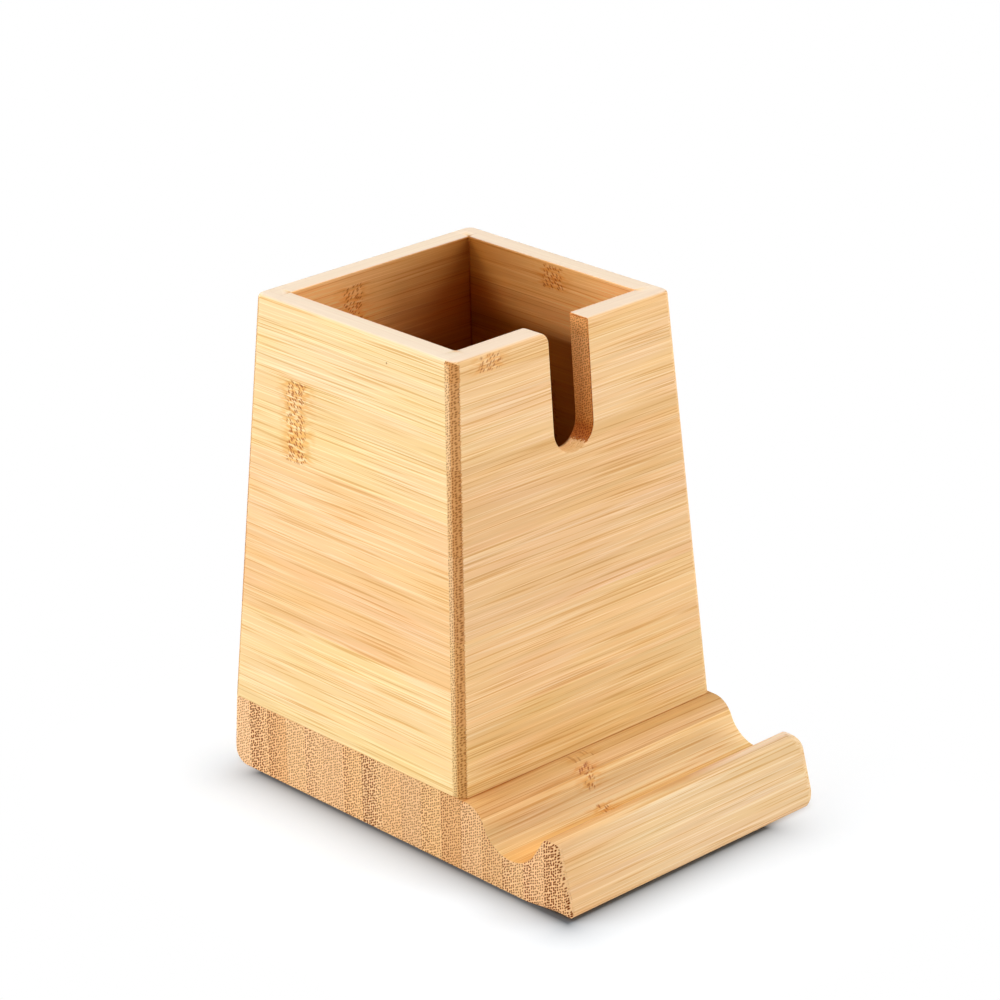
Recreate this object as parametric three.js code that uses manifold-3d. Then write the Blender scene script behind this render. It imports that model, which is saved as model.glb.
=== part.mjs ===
// Pen holder with a phone rest in front, glued up from bamboo boards.
// Four tapered wall boards, lapped at their corners, stand on a base laid up from upright staves.
// Millimetres, +Z up. The front, with the cable slot and the phone rest, looks towards -Y.
// The origin is on the underside, at the middle of the base.

import * as THREE from 'three';
import { mergeVertices } from 'three/addons/utils/BufferGeometryUtils.js';
import Module from 'manifold-3d';

const wasm = await Module();
wasm.setup();

// Cup
const footWidth = 82; // across the cup where it stands on the base
const footDepth = 82; // front to back, at the same height
const rimWidth = 68.5; // across the cup at its rim
const rimDepth = 68.5;
const cupHeight = 103;
const wallThickness = 6; // measured level, from the outer to the inner face
const cupCornerRadius = 2.3; // sanded corner between two walls
const lapThickness = 3.2; // of the lip with which one wall covers the end of the next
const rimEase = 1; // rounding of the rim's outer edge

// Cable slot, cut down from the rim of the front wall
const slotWidth = 12.3;
const slotDepth = 30.4; // from the rim to the lowest point of the round end
const slotOffset = 0.75; // of its middle from the middle of the wall, towards +X
const slotMouthRadius = 2.6; // rounding of the mouth on the -X side
const slotMouthEase = 0.4; // rounding of the mouth on the +X side

// Base
const baseThickness = 18;
const restDepth = 35; // how far the base runs out in front of the cup
const backEdgeRadius = 2.8; // rounding of the underside's back edge
const frontEdgeRadius = 2; // rounding of the underside's front edge
const restCornerRadius = 3; // upright corners at the front of the rest
const staveWidth = 6.85;
const backStaveWidth = 5.9; // the back stave is trimmed with the board

// Phone groove and the lip in front of it
const grooveRadius = 9.5;
const grooveDepth = 9.5;
const grooveDistance = 15.5; // of its lowest line from the foot of the cup
const shoulderRadius = 6; // between the base's flat top and the groove
const lipSlope = 57; // degrees, of the groove's front side
const lipLean = 15; // degrees, of the lip's front face from upright
const crestBackRadius = 2;
const crestFrontRadius = 2.2;
const lipLeftRadius = 1.8; // rounding of the crest's end on the -X side
const lipRightRadius = 3.4; // rounding of the crest's end on the +X side

const arcSteps = 6; // of the corners and edges
const slotSteps = 14; // of the slot's round end
const degree = Math.PI / 180;

// Places that follow from the sizes
const baseDepth = footDepth + restDepth;
const backY = baseDepth / 2;
const frontY = -baseDepth / 2;
const cupFrontY = backY - footDepth;
const cupMiddleY = backY - footDepth / 2;
const rimZ = baseThickness + cupHeight;
const grooveY = cupFrontY - grooveDistance;
const slack = 1; // how far a cutting body runs past what it cuts

const wallBamboo = { color: 0xecc995, roughness: 0.5, metalness: 0 };
const baseBamboo = { color: 0xdfb27a, roughness: 0.5, metalness: 0 };

// Meshes as solids, for cutting

function toSolid(geometry) {
  const bare = geometry.clone();
  bare.deleteAttribute('normal');
  bare.deleteAttribute('uv');
  const merged = mergeVertices(bare, 1e-4);
  const mesh = new wasm.Mesh({
    numProp: 3,
    vertProperties: new Float32Array(merged.attributes.position.array),
    triVerts: new Uint32Array(merged.index.array),
  });
  return new wasm.Manifold(mesh);
}

function toGeometry(solid) {
  const mesh = solid.getMesh();
  const geometry = new THREE.BufferGeometry();
  geometry.setAttribute('position', new THREE.BufferAttribute(mesh.vertProperties, 3));
  geometry.setIndex(new THREE.BufferAttribute(mesh.triVerts, 1));
  return geometry;
}

function addPiece(group, name, geometry, finish) {
  geometry.computeVertexNormals();
  const mesh = new THREE.Mesh(geometry, new THREE.MeshStandardMaterial(finish));
  mesh.name = name;
  group.add(mesh);
}

// Walls
// The front wall ends in a lip at both sides, which covers the front ends of the side walls. The
// side walls end in such a lip at the back, and the back wall stands between those two lips.

// The outer size at height z: halves across and front to back, before the rim's rounding.
function outerHalves(z) {
  const share = (z - baseThickness) / cupHeight;
  return {
    across: (footWidth + (rimWidth - footWidth) * share) / 2,
    along: (footDepth + (rimDepth - footDepth) * share) / 2,
  };
}

// The two kinds of wall end, as level sections from the inner face to the outer one. They are
// [u, v] points, with u along the wall from the cup's middle and v outwards from it.

function lippedEnd(halfLength, reach, inset) {
  const radius = cupCornerRadius - inset;
  const points = [
    [halfLength - wallThickness, reach - wallThickness],
    [halfLength - wallThickness, reach - lapThickness],
    [halfLength - inset, reach - lapThickness],
  ];
  for (let i = 0; i <= arcSteps; i++) {
    const angle = (90 * i * degree) / arcSteps;
    points.push([
      halfLength - cupCornerRadius + radius * Math.cos(angle),
      reach - cupCornerRadius + radius * Math.sin(angle),
    ]);
  }
  return points;
}

function straightEnd(halfLength, reach, inset) {
  return [
    [halfLength - lapThickness, reach - wallThickness],
    [halfLength - lapThickness, reach - inset],
  ];
}

// Heights of the sections, with how far the outer face has drawn in there.
function wallLevels() {
  const levels = [{ z: baseThickness, inset: 0 }];
  for (let i = 0; i <= arcSteps; i++) {
    const angle = (90 * i * degree) / arcSteps;
    levels.push({
      z: rimZ - rimEase + rimEase * Math.sin(angle),
      inset: rimEase - rimEase * Math.cos(angle),
    });
  }
  return levels;
}

// A closed skin through rings of points that run anticlockwise as seen from above.
function loft(rings) {
  const count = rings[0].length;
  const positions = rings.flat(2);
  const indices = [];
  for (let level = 0; level + 1 < rings.length; level++) {
    for (let i = 0; i < count; i++) {
      const next = (i + 1) % count;
      const a = level * count + i;
      const b = level * count + next;
      indices.push(a, b, b + count, a, b + count, a + count);
    }
  }
  const top = (rings.length - 1) * count;
  const lid = (ring) => THREE.ShapeUtils.triangulateShape(
    ring.map(([x, y]) => new THREE.Vector2(x, y)), []);
  for (const [a, b, c] of lid(rings[0])) indices.push(c, b, a);
  for (const [a, b, c] of lid(rings[rings.length - 1])) indices.push(top + a, top + b, top + c);
  const geometry = new THREE.BufferGeometry();
  geometry.setAttribute('position', new THREE.Float32BufferAttribute(positions, 3));
  geometry.setIndex(indices);
  return geometry;
}

// How a wall's u and v lie in the plan, which half size is its length, and its ends at -u and +u.
const walls = {
  front_wall: { place: (u, v) => [-u, -v], isAcross: true, ends: [lippedEnd, lippedEnd] },
  right_wall: { place: (u, v) => [v, -u], isAcross: false, ends: [lippedEnd, straightEnd] },
  back_wall: { place: (u, v) => [u, v], isAcross: true, ends: [straightEnd, straightEnd] },
  left_wall: { place: (u, v) => [-v, u], isAcross: false, ends: [straightEnd, lippedEnd] },
};

function wallGeometry({ place, isAcross, ends }) {
  const rings = wallLevels().map(({ z, inset }) => {
    const { across, along } = outerHalves(z);
    const sizes = isAcross ? [across, along] : [along, across];
    const first = ends[0](...sizes, inset).map(([u, v]) => [-u, v]);
    const last = ends[1](...sizes, inset);
    return [...last, ...first.reverse()].map(([u, v]) => {
      const [x, y] = place(u, v);
      return [x, cupMiddleY + y, z];
    });
  });
  return loft(rings);
}

// The slot's outline in the plane of the front wall, measured down from the rim, with a mouth
// that opens out at each side by its own radius.
function slotShape() {
  const half = slotWidth / 2;
  const endY = -slotDepth + half;
  const quarter = Math.PI / 2;
  const shape = new THREE.Shape();
  shape.moveTo(-half - slotMouthRadius, slack);
  shape.lineTo(-half - slotMouthRadius, 0);
  shape.absarc(-half - slotMouthRadius, -slotMouthRadius, slotMouthRadius, quarter, 0, true);
  shape.absarc(0, endY, half, Math.PI, 2 * Math.PI, false);
  shape.absarc(half + slotMouthEase, -slotMouthEase, slotMouthEase, 2 * quarter, quarter, true);
  shape.lineTo(half + slotMouthEase, slack);
  return shape;
}

// The slot is milled square to the leaning board, so its cutter leans with the front wall.
function slotCutter() {
  const lean = Math.atan2((footDepth - rimDepth) / 2, cupHeight);
  const length = wallThickness + 4 * slack;
  const geometry = new THREE.ExtrudeGeometry(slotShape(), {
    depth: length,
    bevelEnabled: false,
    curveSegments: slotSteps,
  });
  geometry.translate(slotOffset, 0, -length + 2 * slack);
  geometry.rotateX(Math.PI / 2 - lean);
  geometry.translate(0, cupMiddleY - rimDepth / 2, rimZ);
  return geometry;
}

// Base
// Its side outline has an upper line, from the back face over the groove and the lip to the
// foremost point, and a lower line along the underside.

function upperLine() {
  const line = new THREE.Path();
  line.moveTo(backY, backEdgeRadius);
  line.lineTo(backY, baseThickness);

  const grooveZ = baseThickness - grooveDepth + grooveRadius;
  const shoulderZ = baseThickness - shoulderRadius;
  const reach = grooveRadius + shoulderRadius;
  const turn = Math.asin((grooveZ - shoulderZ) / reach);
  const shoulderY = grooveY + reach * Math.cos(turn);
  line.absarc(shoulderY, shoulderZ, shoulderRadius, Math.PI / 2, Math.PI - turn, false);

  const slope = lipSlope * degree;
  line.absarc(grooveY, grooveZ, grooveRadius, -turn, -Math.PI / 2 - slope, true);

  const crestZ = baseThickness - crestBackRadius;
  const rise = crestZ - grooveZ + (grooveRadius + crestBackRadius) * Math.cos(slope);
  const crestY = grooveY - (grooveRadius + crestBackRadius) * Math.sin(slope)
    - rise / Math.tan(slope);
  line.absarc(crestY, crestZ, crestBackRadius, Math.PI / 2 - slope, Math.PI / 2, false);

  const lean = lipLean * degree;
  const frontZ = baseThickness - crestFrontRadius;
  const fall = (frontZ - frontEdgeRadius) * Math.sin(lean) - (frontEdgeRadius - crestFrontRadius);
  const frontCrestY = frontY + frontEdgeRadius + fall / Math.cos(lean);
  line.absarc(frontCrestY, frontZ, crestFrontRadius, Math.PI / 2, Math.PI - lean, false);
  line.absarc(frontY + frontEdgeRadius, frontEdgeRadius, frontEdgeRadius,
    Math.PI - lean, Math.PI, false);
  return line.getPoints(arcSteps);
}

function lowerLine() {
  const line = new THREE.Path();
  line.absarc(frontY + frontEdgeRadius, frontEdgeRadius, frontEdgeRadius,
    Math.PI, 1.5 * Math.PI, false);
  line.absarc(backY - backEdgeRadius, backEdgeRadius, backEdgeRadius,
    -Math.PI / 2, 0, false);
  return line.getPoints(arcSteps);
}

// The part of a line between two values of y, with new ends where it is cut.
function between(line, low, high) {
  const kept = [];
  const cutAt = (a, b, y) => new THREE.Vector2(y, a.y + ((b.y - a.y) * (y - a.x)) / (b.x - a.x));
  for (let i = 0; i < line.length; i++) {
    const point = line[i];
    if (point.x >= low && point.x <= high) kept.push(point);
    const next = line[i + 1];
    if (!next) continue;
    const cuts = [low, high].filter((y) => (point.x - y) * (next.x - y) < 0);
    cuts.sort((a, b) => Math.abs(a - point.x) - Math.abs(b - point.x));
    for (const y of cuts) kept.push(cutAt(point, next, y));
  }
  return kept;
}

// Where one stave ends and the next begins, from the back to the front.
function staveEdges() {
  const edges = [backY];
  let y = backY - backStaveWidth;
  while (y - frontY > staveWidth / 2) {
    edges.push(y);
    y -= staveWidth;
  }
  edges.push(frontY);
  return edges;
}

// Draws a (y, z) outline out along X over the base's whole width.
function acrossBase(shape) {
  const geometry = new THREE.ExtrudeGeometry(shape, {
    depth: footWidth,
    bevelEnabled: false,
    curveSegments: arcSteps,
  });
  const turn = new THREE.Matrix4().makeBasis(
    new THREE.Vector3(0, 1, 0), new THREE.Vector3(0, 0, 1), new THREE.Vector3(1, 0, 0));
  geometry.applyMatrix4(turn);
  geometry.translate(-footWidth / 2, 0, 0);
  return geometry;
}

// The base's plan with its four rounded corners, as a tall block.
function planBlock() {
  const x = footWidth / 2;
  const quarter = Math.PI / 2;
  const plan = new THREE.Shape();
  plan.absarc(x - restCornerRadius, frontY + restCornerRadius, restCornerRadius, -quarter, 0, false);
  plan.absarc(x - cupCornerRadius, backY - cupCornerRadius, cupCornerRadius, 0, quarter, false);
  plan.absarc(cupCornerRadius - x, backY - cupCornerRadius, cupCornerRadius,
    quarter, 2 * quarter, false);
  plan.absarc(restCornerRadius - x, frontY + restCornerRadius, restCornerRadius,
    2 * quarter, 3 * quarter, false);
  const geometry = new THREE.ExtrudeGeometry(plan, {
    depth: baseThickness + 2 * slack,
    bevelEnabled: false,
    curveSegments: arcSteps,
  });
  geometry.translate(0, 0, -slack);
  return geometry;
}

// The lip's outline as seen from the front, with both ends of its crest rounded.
function lipBlock() {
  const x = footWidth / 2;
  const quarter = Math.PI / 2;
  const outline = new THREE.Shape();
  outline.moveTo(-x, -slack);
  outline.lineTo(x, -slack);
  outline.absarc(x - lipRightRadius, baseThickness - lipRightRadius, lipRightRadius,
    0, quarter, false);
  outline.absarc(lipLeftRadius - x, baseThickness - lipLeftRadius, lipLeftRadius,
    quarter, 2 * quarter, false);
  const length = restDepth + 2 * slack;
  const geometry = new THREE.ExtrudeGeometry(outline, {
    depth: length,
    bevelEnabled: false,
    curveSegments: arcSteps,
  });
  geometry.rotateX(quarter);
  geometry.translate(0, frontY - slack + length, 0);
  return geometry;
}

function staveGeometry(upper, lower, low, high) {
  const outline = [...between(lower, low, high), ...between(upper, low, high)];
  const geometry = acrossBase(new THREE.Shape(outline));
  const atBackCorners = high > backY - cupCornerRadius;
  const atFrontCorners = low < frontY + restCornerRadius;
  const inLip = low < grooveY - grooveRadius * Math.sin(lipSlope * degree);
  if (!atBackCorners && !atFrontCorners && !inLip) return geometry;
  let solid = toSolid(geometry);
  if (atBackCorners || atFrontCorners) solid = solid.intersect(toSolid(planBlock()));
  if (inLip) solid = solid.intersect(toSolid(lipBlock()));
  return toGeometry(solid);
}

// Assembly

const penHolder = new THREE.Group();

for (const [name, wall] of Object.entries(walls)) {
  const board = wallGeometry(wall);
  const hasSlot = name === 'front_wall';
  const geometry = hasSlot ? toGeometry(toSolid(board).subtract(toSolid(slotCutter()))) : board;
  addPiece(penHolder, name, geometry, wallBamboo);
}

const upper = upperLine();
const lower = lowerLine();
const edges = staveEdges();
for (let i = 0; i + 1 < edges.length; i++) {
  const name = `base_stave_${String(i + 1).padStart(2, '0')}`;
  addPiece(penHolder, name, staveGeometry(upper, lower, edges[i + 1], edges[i]), baseBamboo);
}

export default penHolder;
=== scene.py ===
"""A bamboo pen holder with a phone rest.

A tapered cup of four boards is glued on a thick base of upright staves, which runs out in front.
Lengths are millimetres in the sections, and are turned to metres where a mesh or a light is made.
The front, with the cable slot and the phone rest, looks towards -Y.
"""

import math

import bmesh
import bpy
import numpy as np
from mathutils import Euler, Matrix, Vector


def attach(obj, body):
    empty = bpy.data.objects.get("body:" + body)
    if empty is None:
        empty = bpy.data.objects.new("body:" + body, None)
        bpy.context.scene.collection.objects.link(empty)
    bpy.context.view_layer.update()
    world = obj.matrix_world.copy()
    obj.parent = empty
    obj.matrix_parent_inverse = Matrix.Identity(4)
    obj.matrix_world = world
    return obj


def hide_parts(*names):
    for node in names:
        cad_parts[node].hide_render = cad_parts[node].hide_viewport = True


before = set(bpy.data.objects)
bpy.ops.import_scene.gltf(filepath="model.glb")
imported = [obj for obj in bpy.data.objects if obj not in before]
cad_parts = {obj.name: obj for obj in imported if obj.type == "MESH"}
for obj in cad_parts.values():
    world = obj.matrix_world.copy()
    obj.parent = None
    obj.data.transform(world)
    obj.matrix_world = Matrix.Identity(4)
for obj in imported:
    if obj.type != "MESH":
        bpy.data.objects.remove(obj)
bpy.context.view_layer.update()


# Camera
# A long lens a little above the rim, turned to the corner between the front and the left side.
# Its place, turn and length follow from the holder's straight edges.

MM = 0.001

camera_data = bpy.data.cameras.new("camera")
camera_data.sensor_width = 36
camera_data.lens = 137.573
camera = bpy.data.objects.new("camera", camera_data)
camera.location = Vector((-564.914, -602.236, 414.311)) * MM
camera.rotation_euler = Euler([math.radians(a) for a in (67.5754, 1.0340, -43.3078)])
bpy.context.scene.collection.objects.link(camera)
bpy.context.scene.camera = camera
bpy.context.scene.view_settings.view_transform = "Standard"


# Floor, backdrop and light
# A matt white sheet that runs out to pure white, with a painted contact shadow near the base,
# and seven soft boxes: four low, one on each side, two high ones across the far corners, so the
# cup's inside falls off to dark, and one on top. Painted shade on the boards darkens the inside
# further.


def linear(code):
    """The linear colour of an sRGB hex value."""
    parts = [int(code[i:i + 2], 16) / 255 for i in (1, 3, 5)]
    return [c / 12.92 if c < 0.04045 else ((c + 0.055) / 1.055) ** 2.4 for c in parts] + [1]


def node(tree, kind, sockets=(), **settings):
    """Adds a node with its settings, and gives its inputs a value, a link or a node's output."""
    made = tree.nodes.new(kind)
    for key, value in settings.items():
        setattr(made, key, value)
    for key, value in dict(sockets).items():
        if isinstance(value, bpy.types.Node):
            value = next(output for output in value.outputs if output.enabled)
        if isinstance(value, bpy.types.NodeSocket):
            tree.links.new(value, made.inputs[key])
        else:
            made.inputs[key].default_value = value
    return made


reach = 1500
floor_mesh = bpy.data.meshes.new("floor")
corners = np.array([(-1, -1, 0), (1, -1, 0), (1, 1, 0), (-1, 1, 0)]) * reach * MM
floor_mesh.from_pydata(corners.tolist(), [], [(0, 1, 2, 3)])
floor = bpy.data.objects.new("floor", floor_mesh)
bpy.context.scene.collection.objects.link(floor)

sheet = bpy.data.materials.new("matt_white_sheet")
sheet.use_nodes = True
tree = sheet.node_tree
tree.nodes.clear()
seen = node(tree, "ShaderNodeLightPath").outputs["Is Camera Ray"]
place = node(tree, "ShaderNodeTexCoord").outputs["Object"]

# The sheet is overexposed, as it is in a studio. For the camera it glows: the glow rises from
# nothing in the contact shadow to glow_strength, as an exponential over glow_length. Its own grey
# is a painted shadow that deepens towards the box as one over dark_length; with the weaker glow
# there it paints the soft contact shadow around the base. It turns to pure white from the first
# distance in white_from_to to the second. Distances are in metres, from a box somewhat smaller
# than the base's footprint, moved to the left, where the shadow falls.
shadow_middle, shadow_half = (-0.009, -0.0046, 0), (0.0325, 0.0536, 0)
glow_strength, glow_length, dark_length = 0.66, 0.007, 0.0015
white_from_to = 0.010, 0.06
offset = node(tree, "ShaderNodeVectorMath", {0: place, 1: shadow_middle}, operation="SUBTRACT")
offset = node(tree, "ShaderNodeVectorMath", {0: offset}, operation="ABSOLUTE")
offset = node(tree, "ShaderNodeVectorMath", {0: offset, 1: shadow_half}, operation="SUBTRACT")
offset = node(tree, "ShaderNodeVectorMath", {0: offset, 1: (0, 0, 0)}, operation="MAXIMUM")
offset = node(tree, "ShaderNodeVectorMath", {0: offset}, operation="LENGTH")
fade = node(tree, "ShaderNodeMath", {0: offset, 1: -1 / glow_length}, operation="MULTIPLY")
fade = node(tree, "ShaderNodeMath", {0: fade}, operation="EXPONENT")
strength = node(tree, "ShaderNodeMapRange", {"Value": fade, "To Min": glow_strength,
                                                 "To Max": 0.0})
strength = node(tree, "ShaderNodeMath", {0: strength, 1: seen}, operation="MULTIPLY")
dark = node(tree, "ShaderNodeMath", {0: offset, 1: -1 / dark_length}, operation="MULTIPLY")
dark = node(tree, "ShaderNodeMath", {0: dark}, operation="EXPONENT")
# Painted shadow: the camera sees the sheet grey, darker towards the box; other rays see it white.
grey = node(tree, "ShaderNodeMix", {0: dark, 6: linear("#A8ACB0"), 7: linear("#6B7075")},
            data_type="RGBA")
grey = node(tree, "ShaderNodeMix", {0: seen, 6: linear("#F4F4F4"), 7: grey}, data_type="RGBA")
matt = node(tree, "ShaderNodeBsdfDiffuse", {"Color": grey})
glow = node(tree, "ShaderNodeEmission", {"Strength": strength})
near = node(tree, "ShaderNodeAddShader", {0: matt, 1: glow})
away = node(tree, "ShaderNodeMapRange", {"Value": offset, "From Min": white_from_to[0],
                                         "From Max": white_from_to[1]},
            interpolation_type="SMOOTHSTEP")
away = node(tree, "ShaderNodeMath", {0: away, 1: seen}, operation="MULTIPLY")
white = node(tree, "ShaderNodeEmission", {"Strength": 1.0})
both = node(tree, "ShaderNodeMixShader", {0: away, 1: near, 2: white})
node(tree, "ShaderNodeOutputMaterial", {"Surface": both})
floor_mesh.materials.append(sheet)

world = bpy.data.worlds.new("studio")
bpy.context.scene.world = world
world.use_nodes = True
tree = world.node_tree
tree.nodes.clear()
room = node(tree, "ShaderNodeBackground", {"Color": (1, 1, 1, 1), "Strength": 0.01})
backdrop = node(tree, "ShaderNodeBackground", {"Color": (1, 1, 1, 1), "Strength": 1.0})
seen = node(tree, "ShaderNodeLightPath").outputs["Is Camera Ray"]
both = node(tree, "ShaderNodeMixShader", {0: seen, 1: room, 2: backdrop})
node(tree, "ShaderNodeOutputWorld", {"Surface": both})

# Where each soft box hangs, its width and height, and its power in watts. All face one point.
soft_boxes = {
    "left_box": ((-1280, 0, 276), (700, 250), 6.4),
    "front_box": ((331, -1237, 276), (700, 250), 6.5),
    "high_back_left_box": ((-650, 650, 969), (600, 600), 7.4),
    "high_front_right_box": ((796, -460, 969), (600, 600), 4.9),
    "top_box": ((0, 0, 1350), (500, 500), 6.6),
    "back_box": ((-100, 1280, 276), (700, 250), 3.5),
    "right_box": ((1280, -100, 276), (700, 250), 3.5),
}
aim = Vector((0, 0, 50))
for name, (where, size, power) in soft_boxes.items():
    lamp = bpy.data.lights.new(name, "AREA")
    lamp.shape = "RECTANGLE"
    lamp.size, lamp.size_y = (side * MM for side in size)
    lamp.energy = power
    box = bpy.data.objects.new(name, lamp)
    box.location = Vector(where) * MM
    box.rotation_euler = (aim - Vector(where)).to_track_quat("-Z", "Y").to_euler()
    bpy.context.scene.collection.objects.link(box)


# Base
# Seventeen upright bamboo staves, glued side by side into a board 18 mm thick and milled with the
# phone groove and its lip. Each stave runs across the whole width, with its grain along X.

foot_width = 82.0
back_y, front_y = 58.5, -58.5
foot_y = back_y - foot_width
base_thickness = 18.0
back_edge, front_edge = 4.0, 2.0
cup_corner = 2.3
worn_corner, worn_height = 0.4, 5.0
groove_y, groove_radius, groove_depth = -39.0, 9.5, 9.5
shoulder = 6.0
lip_slope, lip_lean = math.radians(57), math.radians(15)
crest_y = -51.5
crest_back, crest_front = 2.0, 2.2
# The left end, -1, and the right end, 1, are rounded by hand and not alike: the upright front
# corner, the lip's crest as a length along X and a height, and the lip's foot.
rest_corners = {-1: 1.3, 1: 3.0}
lip_ends = {-1: (1.0, 1.0), 1: (5.8, 4.6)}
lip_feet = {-1: 2.4, 1: 4.2}
# The foot's rounding starts so far behind the crest, and is full so much further on.
feet_behind, feet_fade = 7.0, 9.0
crest_fade = 1.5
most_drawn = 12.0
end_ease, under_ease = 0.3, 0.3
first_joint, stave_width, stave_count = 52.6, 6.85, 17
inner_joints = [first_joint - stave_width * k for k in range(stave_count - 1)]
stave_edges = [back_y, *inner_joints, front_y]


def arc(y, z, radius, start, end, steps=14):
    """Points on a circle about (y, z), from one angle to another, in radians."""
    turn = np.linspace(start, end, steps)
    return np.stack([y + radius * np.cos(turn), z + radius * np.sin(turn)], 1)


def upper_line():
    """The base's side outline along the top, as (y, z): back edge, shoulder, groove, lip, tip.

    The shoulder's and the groove's circles touch. The lip's back is a line that touches the
    groove's circle and the crest's, and its front one that touches the crest's and the tip's.
    """
    groove_z = base_thickness - groove_depth + groove_radius
    shoulder_z = base_thickness - shoulder
    turn = math.asin((groove_z - shoulder_z) / (groove_radius + shoulder))
    shoulder_y = groove_y + (groove_radius + shoulder) * math.cos(turn)
    crest_z = base_thickness - crest_back
    rise = crest_z - groove_z + (groove_radius + crest_back) * math.cos(lip_slope)
    hook_y = groove_y - (groove_radius + crest_back) * math.sin(lip_slope)
    hook_y -= rise / math.tan(lip_slope)
    top_z = base_thickness - crest_front
    fall = (top_z - front_edge) * math.sin(lip_lean) - (front_edge - crest_front)
    top_y = front_y + front_edge + fall / math.cos(lip_lean)
    return np.concatenate([
        [[back_y, base_thickness]],
        arc(shoulder_y, shoulder_z, shoulder, math.pi / 2, math.pi - turn),
        arc(groove_y, groove_z, groove_radius, -turn, -math.pi / 2 - lip_slope, 40),
        arc(hook_y, crest_z, crest_back, math.pi / 2 - lip_slope, math.pi / 2),
        arc(top_y, top_z, crest_front, math.pi / 2, math.pi - lip_lean),
        arc(front_y + front_edge, front_edge, front_edge, math.pi - lip_lean, math.pi),
    ])


def lower_line():
    """The same outline along the underside, from the back edge to the tip."""
    return np.concatenate([
        arc(back_y - back_edge, back_edge, back_edge, 0, -math.pi / 2),
        arc(front_y + front_edge, front_edge, front_edge, -math.pi / 2, -math.pi),
    ])


def height_on(line, y):
    """A line's height at y, and one over the cosine of its slope there."""
    line = line[::-1]
    line = line[np.r_[True, np.diff(line[:, 0]) > 1e-9]]
    step = np.diff(line, axis=0)
    steep = np.hypot(step[:, 0], step[:, 1]) / step[:, 0]
    middle = (line[1:, 0] + line[:-1, 0]) / 2
    return np.interp(y, line[:, 0], line[:, 1]), np.clip(np.interp(y, middle, steep), 1, 5)


def rounding(radius, distance):
    """How far a rounded edge has drawn back, by the distance from the sharp edge's line."""
    left = np.clip(radius - distance, 0, radius)
    return radius - np.sqrt(radius ** 2 - left ** 2)


def closed_piece(name, points, quads):
    """An object from points in millimetres, with doubles merged and its faces turned outwards."""
    mesh = bpy.data.meshes.new(name)
    mesh.from_pydata((np.asarray(points) * MM).tolist(), [], np.asarray(quads).tolist())
    form = bmesh.new()
    form.from_mesh(mesh)
    bmesh.ops.remove_doubles(form, verts=form.verts, dist=2e-7)
    bmesh.ops.dissolve_degenerate(form, edges=form.edges, dist=1e-7)
    bmesh.ops.recalc_face_normals(form, faces=form.faces)
    form.to_mesh(mesh)
    form.free()
    mesh.polygons.foreach_set("use_smooth", [True] * len(mesh.polygons))
    mesh.set_sharp_from_angle(angle=math.radians(32))
    piece = bpy.data.objects.new(name, mesh)
    bpy.context.scene.collection.objects.link(piece)
    return piece


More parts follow.
